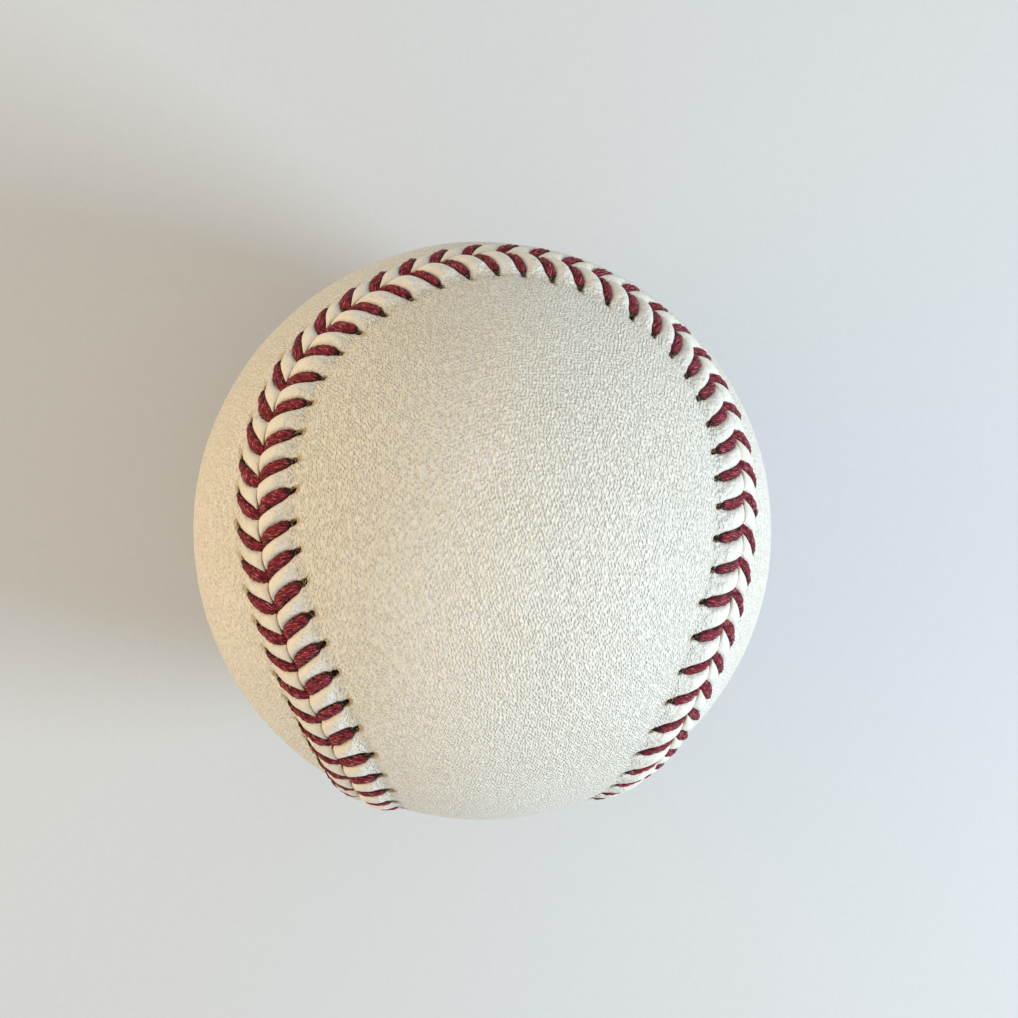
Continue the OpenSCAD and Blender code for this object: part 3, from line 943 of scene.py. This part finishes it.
def thread_course(first_side):
    """Course of half the thread, as arrays of one number for each ring: its run, offset and
    radius, its half width and half thickness, and how dark it is. For each stitch, from the
    last to the first and on either side by turns, it comes up through the hole, follows the
    arm to the point, dips into the seam and runs under the other side to the next hole."""
    i = np.arange(STITCHES)[:, None]
    k = STITCHES - 1 - i
    side = np.where(i % 2 == 0, first_side, -first_side)
    row = (side + 1) // 2
    point, hole, next_hole = point_run(k, row), hole_run(k, row), hole_run(k - 1, 1 - row)
    far, next_far = reach[row, k], reach[1 - row, k - 1]
    v = np.linspace(1, 0, ARM_RINGS)[None, :]
    arm_run, arm_off, arm_r, half_w, half_t = arm_at(k, row, v)
    # Darker towards the hole and where the arm dips into the seam: wax dirt and painted shade
    arm_dark = np.maximum(hole_dark(v), SEAM_DARK * smooth(1 - v / SEAM_DARK_SHARE)) + 0 * arm_run

    ones = np.ones((STITCHES, 1))
    up, down, below = ones * RISE_RADII, ones * DIP_RADII, ones * UNDER_SHARES
    run = np.hstack([hole + 0 * up, arm_run, point + 0 * down, point + (next_hole - point) * below])
    off = np.hstack([side * far + 0 * up, arm_off, 0 * down, -side * next_far * below])
    radius = np.hstack([up, arm_r, down, UNDER_R + 0 * below])
    thin = [np.full(part.shape, 0.5) for part in (up, down, below)]
    width = np.hstack([DRAWN_W * thin[0], half_w, DRAWN_W * thin[1], DRAWN_W * thin[2]])
    thick = np.hstack([DRAWN_T * thin[0], half_t + 0 * arm_run, DRAWN_T * thin[1],
                       UNDER_T_SHARE * DRAWN_T * thin[2]])
    # The parts inside the holes, in the seam and under the leather are painted fully dark, as shade
    dark = np.hstack([2 * thin[0], arm_dark, 2 * thin[1], 2 * thin[2]])

    # The course starts under the first stitch and ends in the seam, short of the last run below
    end = -len(UNDER_SHARES)
    start = [hole[0, 0] - DRAWN_W, 0.5 * (hole[0, 0] - DRAWN_W) + 0.5 * hole[0, 0]]
    start_off = [0.05 * first_side, 0.5 * first_side * far[0, 0]]
    ends = [(start, run), (start_off, off), ([UNDER_R] * 2, radius), ([DRAWN_W / 2] * 2, width),
            ([DRAWN_T * START_T_SHARE] * 2, thick), ([1, 1], dark)]
    return [np.concatenate([first, values.ravel()[:end]]) for first, values in ends]


def thread_mesh(first_side, name):
    """Half of the thread as a swept ring: wide along the seam where it can be, flat, with a
    valley between its two plies and slanting ridges from its twist."""
    run, off, radius, half_w, half_t, dark = thread_course(first_side)
    outward, along, _ = seam_frame(run, off)
    centre = outward * radius[:, None]
    course = unit(np.gradient(centre, axis=0))
    wide = unit(along - (along * course).sum(-1, keepdims=True) * course)
    thick = np.cross(course, wide)
    arc = length_along(centre)

    # Round the ring, the share across it is half a cosine and half an even step
    turn = (TURN * np.arange(THREAD_SIDES) / THREAD_SIDES)[:, None]
    c = (np.cos(turn) + 1 - 2 * np.abs(1 - np.abs(1 - turn / np.pi))) / 2
    s = np.sign(np.sin(turn)) * (1 - np.abs(c) ** 2.3) ** 0.5
    valley_at = 2 * np.mod(arc / PLY_RUN, 1) - 1
    valley = VALLEY * (1 - valley_at ** 4) * hump(c, valley_at, VALLEY_HALF_SHARE)
    ridge = PLY_RIDGE * np.cos(TURN * arc / LAY + PLY_SLANT * c * np.sign(s)) * half_w / half_w.max()
    ragged = 1 + RAGGED * sum(
        np.sin(TURN * arc / length + swing * np.sin(arc / drift) + lean * np.sign(c))
        for length, drift, swing, lean in RAGGED_WAVES)
    x = half_w * ragged * c
    y = (half_t * (1 - valley) + ridge) * s
    points = centre[None] + wide[None] * x[..., None] + thick[None] * y[..., None]

    rings = len(run)
    numbers = np.arange(THREAD_SIDES * rings).reshape(THREAD_SIDES, rings)
    around = np.arange(THREAD_SIDES)
    caps = [np.stack([np.full(THREAD_SIDES, tip), (around + step) % THREAD_SIDES * rings + ring,
                      (around + 1 - step) % THREAD_SIDES * rings + ring], -1)
            for tip, ring, step in ((numbers.size, 0, 1), (numbers.size + 1, rings - 1, 0))]
    faces = np.concatenate([grid(numbers)] + caps)
    mesh = mesh_of(name, np.concatenate([points.reshape(-1, 3), centre[[0, -1]]]), faces)
    add_values(mesh, "dark", np.concatenate([np.tile(dark, THREAD_SIDES), [1, 1]]))
    # Painted shade: darker towards the thread's edges and in the valley between its plies
    painted_shade = np.maximum(smooth((np.abs(c) - 0.45) / 0.5), 0.8 * valley / VALLEY) + 0 * arc
    add_values(mesh, "painted_shade", np.concatenate([painted_shade.ravel(), [1, 1]]))

    # Length along the thread and turn round it, in millimetres, at each face's corners
    ring, side = tube_corners(faces, rings, THREAD_SIDES)
    add_uv(mesh, "thread", np.stack([arc[ring], side * (2 * STITCH_W + STITCH_T) / THREAD_SIDES], -1))
    return mesh


# Loose fibres
HAIR_RINGS = 5
HAIR_SIDES = 3
LEATHER_HAIRS = 9
THREAD_HAIRS = 15


def random_between(low, high, count):
    """That many random numbers for every stitch of both sides, as one long row."""
    return rng.uniform(low, high, 2 * STITCHES * count)


def hair_mesh(name, roots, directions, lengths, radii, bends, values):
    """Tapered three-sided hairs. A hair's middle line runs from its root along a direction,
    and bends by a vector as the square of the share along it, while its radius falls evenly
    to a sixth. Values are stored on the points by name, one number for each hair."""
    t = np.linspace(0, 1, HAIR_RINGS)[None, :, None]
    middle = roots[:, None] + directions[:, None] * lengths[:, None, None] * t + bends[:, None] * t ** 2
    aside = unit(np.cross(directions, roots))[:, None, None]
    other = np.cross(directions[:, None, None], aside)
    turn = (TURN * np.arange(HAIR_SIDES) / HAIR_SIDES)[None, None, :, None]
    radius = (radii[:, None] * (1 - 5 / 6 * t[..., 0]))[..., None, None]
    points = middle[:, :, None] + radius * (aside * np.cos(turn) + other * np.sin(turn))
    numbers = np.arange(points[..., 0].size).reshape(points.shape[:3])
    a, b = numbers[:, :-1], np.roll(numbers[:, :-1], -1, axis=2)
    c, d = np.roll(numbers[:, 1:], -1, axis=2), numbers[:, 1:]
    faces = np.concatenate([np.stack([a, b, c], -1).reshape(-1, 3), np.stack([a, c, d], -1).reshape(-1, 3),
                            numbers[:, 0, ::-1], numbers[:, -1]])
    mesh = mesh_of(name, points.reshape(-1, 3), faces)
    for value_name, value in values.items():
        add_values(mesh, value_name, np.repeat(value, HAIR_RINGS * HAIR_SIDES))
    return mesh


def hairs_of(count):
    """Stitch and side of each hair, with that many hairs at every stitch of both sides."""
    return np.tile(np.repeat(EVERY, count), 2), np.repeat([0, 1], STITCHES * count)


def torn_fibres(name):
    """Leather fibres torn up round the holes: rooted on each pit's rim, an ellipse, and
    leaning over the pit."""
    k, row = hairs_of(LEATHER_HAIRS)
    side = 2 * row - 1
    around = random_between(0, TURN, LEATHER_HAIRS)
    run = hole_run(k, row) + 1.15 * PIT_HALF_W * np.cos(around)
    off = reach[row, k] + PIT_PAST + 1.1 * pit_length[row, k] * np.sin(around)
    outward, along, across = seam_frame(run, side * off)
    lean = -along * np.cos(around)[:, None] - across * (side * np.sin(around))[:, None]
    tilt = random_between(0.3, 1.1, LEATHER_HAIRS)[:, None]
    twist = random_between(-0.7, 0.7, LEATHER_HAIRS)[:, None]
    directions = unit(lean + outward * tilt + np.cross(outward, lean) * twist)
    lengths = random_between(0.25, 0.85, LEATHER_HAIRS)
    radii = random_between(0.022, 0.055, LEATHER_HAIRS)
    roots = outward * (BALL_R - 0.04 + rim_rise(off) + unevenness(outward))[:, None]
    bends = -outward * (0.45 * lengths)[:, None]
    # The torn fibres are dark brown, partly as painted shade
    bare_and_shade = random_between(0, 1, LEATHER_HAIRS) ** 0.3
    return hair_mesh(name, roots, directions, lengths, radii, bends, {"bare_and_shade": bare_and_shade, "tight": 1 + 0 * bare_and_shade})


def loose_fibres(name):
    """Thread fibres that stand out from the edges of the arms, slanting with the twist."""
    k, row = hairs_of(THREAD_HAIRS)
    v = random_between(0.02, 1.0, THREAD_HAIRS) ** 0.6
    edge = np.sign(random_between(-1, 1, THREAD_HAIRS))[:, None]
    places = []
    for step in (0, 0.01):
        run, off, radius, half_w, _ = arm_at(k, row, v - step)
        outward = seam_frame(run, off)[0]
        places.append(outward * radius[:, None])
    course = unit(places[0] - places[1])
    wide = np.cross(outward, course) * edge
    slant = random_between(-0.9, 1.4, THREAD_HAIRS)[:, None]
    lift = random_between(-0.1, 0.5, THREAD_HAIRS)[:, None]
    directions = unit(wide + course * slant + outward * lift)
    lengths = random_between(0.18, 0.55, THREAD_HAIRS)
    radii = random_between(0.022, 0.042, THREAD_HAIRS)
    roots = places[0] + wide * (0.85 * half_w)[:, None]
    bends = -outward * (0.35 * lengths)[:, None]
    return hair_mesh(name, roots, directions, lengths, radii, bends, {"dark": hole_dark(v)})


# The windings: each yarn as the turns of its outer layers, laid on a closed shell
YARN_STEPS = 60
YARN_SIDES = 5
YARN_LAY = 2.6
YARN_FLATNESS = 0.6
POLE_STEP_SHARE = 1.1
NODS = 7
NOD_SHARE = 0.92
SHELL_ROWS = 32
SHELL_CLEAR = 0.03


def sphere_grid(radius, first):
    """Points of a closed sphere and its triangles, with point numbers from first: rows of
    latitude between two poles, each of them one point. Faces point inwards."""
    polar = (np.pi * np.arange(1, SHELL_ROWS) / SHELL_ROWS)[None, :]
    turn = (np.pi * np.arange(2 * SHELL_ROWS) / SHELL_ROWS)[:, None]
    ring = np.stack([np.sin(polar) * np.cos(turn), np.sin(polar) * np.sin(turn),
                     np.cos(polar) + 0 * turn], -1)
    points = np.concatenate([[[0, 0, 1], [0, 0, -1]], ring.reshape(-1, 3)]) * radius
    numbers = np.empty((2 * SHELL_ROWS, SHELL_ROWS + 1), int)
    numbers[:, 0], numbers[:, -1] = first, first + 1
    numbers[:, 1:-1] = first + 2 + np.arange(ring[..., 0].size).reshape(ring.shape[:2])
    return points, grid(numbers)


def winding_mesh(name, inner_r, outer_r, yarn_w, turns):
    """A wound layer. Its yarn runs round and round the ball on great circles: each turn's
    pole lies a little more than the yarn's width further round Z than the last, and nods to
    both sides of the middle as a sine, while the radius grows evenly to the outside."""
    half_t = YARN_FLATNESS * yarn_w / 2
    top = outer_r - SHELL_CLEAR - half_t
    depth = min(1.2 * yarn_w, (outer_r - inner_r) - 2 * half_t - 3 * SHELL_CLEAR)
    loop = np.arange(turns * YARN_STEPS + 1) / YARN_STEPS
    pole_z = NOD_SHARE * np.sin(TURN * NODS * loop / turns)
    azimuth = POLE_STEP_SHARE * yarn_w / outer_r * loop
    level = np.sqrt(1 - pole_z ** 2)
    pole = np.stack([level * np.cos(azimuth), level * np.sin(azimuth), pole_z], -1)
    east = np.stack([-np.sin(azimuth), np.cos(azimuth), 0 * azimuth], -1)
    north = np.cross(pole, east)
    angle = (TURN * loop)[:, None]
    direction = east * np.cos(angle) + north * np.sin(angle)
    centre = direction * (top - depth * (1 - loop / turns))[:, None]
    course = unit(np.gradient(centre, axis=0))
    wide = np.cross(course, direction)

    turn = (TURN * np.arange(YARN_SIDES) / YARN_SIDES)[:, None, None]
    points = centre + wide * np.cos(turn) * yarn_w / 2 + direction * np.sin(turn) * half_t
    rings = len(loop)
    numbers = np.arange(YARN_SIDES * rings).reshape(YARN_SIDES, rings)
    tube = grid(numbers)[:, ::-1]
    around = np.arange(1, YARN_SIDES - 1)
    caps = [np.stack([0 * around, around, around + 1], -1) * rings,
            np.stack([0 * around, around + 1, around], -1) * rings + rings - 1]
    outer, outer_faces = sphere_grid(top - depth, points[..., 0].size)
    inner, inner_faces = sphere_grid(inner_r + SHELL_CLEAR, points[..., 0].size + len(outer))
    faces = np.concatenate([tube] + caps + [outer_faces[:, ::-1], inner_faces])
    mesh = mesh_of(name, np.concatenate([points.reshape(-1, 3), outer, inner]), faces)
    # The shells under the yarn are painted most of the way to shade
    shells_painted_shade = np.full(len(outer) + len(inner), 0.8)
    add_values(mesh, "painted_shade", np.concatenate([np.zeros(points[..., 0].size), shells_painted_shade]))

    # Length along the yarn in millimetres, and share of the turn round it
    ring, side = tube_corners(tube, rings, YARN_SIDES)
    uv = np.zeros((len(faces), 3, 2))
    uv[:len(tube)] = np.stack([length_along(centre)[ring], side / YARN_SIDES], -1)
    add_uv(mesh, "yarn", uv)
    return mesh


YARNS = {
    "grey_wool": yarn_material("grey_wool_yarn", (0.17, 0.18, 0.20, 1), (0.38, 0.39, 0.41, 1), 4),
    "white_wool": yarn_material("white_wool_yarn", (0.66, 0.60, 0.48, 1), (0.88, 0.85, 0.77, 1), 3),
    "white_cotton": yarn_material("white_cotton_thread", (0.74, 0.71, 0.63, 1),
                                  (0.92, 0.91, 0.87, 1), 2)}
WINDINGS = (("first_wool_winding", "red_rubber_layer", 1.6, 190, "grey_wool"),
            ("second_wool_winding", "first_wool_winding", 1.2, 230, "white_wool"),
            ("third_wool_winding", "second_wool_winding", 1.3, 230, "grey_wool"),
            ("finishing_winding", "third_wool_winding", 0.55, 280, "white_cotton"))
for node, inner_node, yarn_w, turns, slot in WINDINGS:
    name = node.replace("winding", "yarn")
    mesh = winding_mesh(name, outer_radius(inner_node), outer_radius(node), yarn_w, turns)
    add_piece(name, mesh, YARNS[slot], slot, node)

# The moulded pieces inside and the cement keep their solids
black_rubber = rubber_material("moulded_black_rubber", (0.016, 0.016, 0.018, 1),
                               (0.028, 0.027, 0.028, 1), 0.62)
red_rubber = rubber_material("moulded_red_rubber", (0.36, 0.03, 0.03, 1), (0.47, 0.05, 0.045, 1), 0.55)
SOLID_FINISHES = {
    "cork_core": cork_material(), "lower_black_shell": black_rubber, "upper_black_shell": black_rubber,
    "shell_washer": red_rubber, "red_rubber_layer": red_rubber,
    "cement_coat": rubber_material("brushed_cement", (0.54, 0.41, 0.19, 1), (0.70, 0.58, 0.34, 1),
                                   0.38, (1, 4, 1))}
for node, material in SOLID_FINISHES.items():
    frame["nodes"][node].material_slots[0].material = material

leather = leather_material()
for node, side in SIDES.items():
    add_piece(node.replace("cover", "leather"), panel_mesh(side, node), leather, "cover_leather", node)
thread = thread_material()
for node, first_side in (("thread_first_half", 1), ("thread_second_half", -1)):
    add_piece(node.replace("thread", "waxed_thread"), thread_mesh(first_side, node), thread,
              "waxed_thread", node)
add_piece("torn_hole_fibres", torn_fibres("torn_hole_fibres"), leather, "cover_leather")
add_piece("loose_thread_fibres", loose_fibres("loose_thread_fibres"), thread, "waxed_thread")

# Floor, light and camera
FLOOR_DROP = 0.05
CAMERA_PLACE = (-18.793, 16.743, 169.343)
CAMERA_TURN = (-4.650, -7.510, -0.444)
CAMERA_LENS = 45.82
SENSOR_W = 36


def add_floor():
    """A wide, plain, pale floor that touches the ball."""
    half = 1500
    z = -BALL_R - FLOOR_DROP
    points = np.array([[-half, -half, z], [half, -half, z], [half, half, z], [-half, half, z]])
    mesh = mesh_of("floor", points, np.array([[0, 1, 2], [0, 2, 3]]))
    floor = add_object("floor", mesh)
    material, nodes, links, shader = new_material("pale_floor")
    grain = noise(nodes, links, 0.8, detail=2)
    base = mix_colors(nodes, links, grain, (0.60, 0.615, 0.63, 1), (0.64, 0.65, 0.66, 1))
    links.new(base, shader.inputs["Base Color"])
    shader.inputs["Roughness"].default_value = 0.7
    mesh.materials.append(material)


def add_lamp(name, place, size, power, color):
    """A square lamp that faces the ball's centre. Its place and size are in millimetres."""
    light = bpy.data.lights.new(name, "AREA")
    light.size = size * MM
    light.energy = power
    light.color = color
    lamp = add_object(name, light)
    lamp.location = Vector(place) * MM
    lamp.rotation_euler = lamp.location.to_track_quat("Z", "Y").to_euler()


def add_camera():
    """The camera at the photograph's place, over the ball."""
    data = bpy.data.cameras.new("camera")
    data.lens = CAMERA_LENS
    data.sensor_width = SENSOR_W
    data.clip_start = 0.005
    camera = add_object("camera", data)
    camera.location = Vector(CAMERA_PLACE) * MM
    camera.rotation_euler = Euler(np.radians(CAMERA_TURN))
    bpy.context.scene.camera = camera


add_floor()
add_lamp("window_side", (560, -160, 310), 240, 4.0, (0.73, 0.86, 1.0))
add_lamp("room_side", (-610, 60, 150), 500, 2.45, (1.0, 0.57, 0.11))
add_camera()
world = bpy.data.worlds.new("studio")
world.use_nodes = True
world.node_tree.nodes["Background"].inputs["Color"].default_value = (0.97, 1.0, 0.97, 1)
world.node_tree.nodes["Background"].inputs["Strength"].default_value = 0.65
bpy.context.scene.world = world
bpy.context.scene.view_settings.view_transform = "Standard"
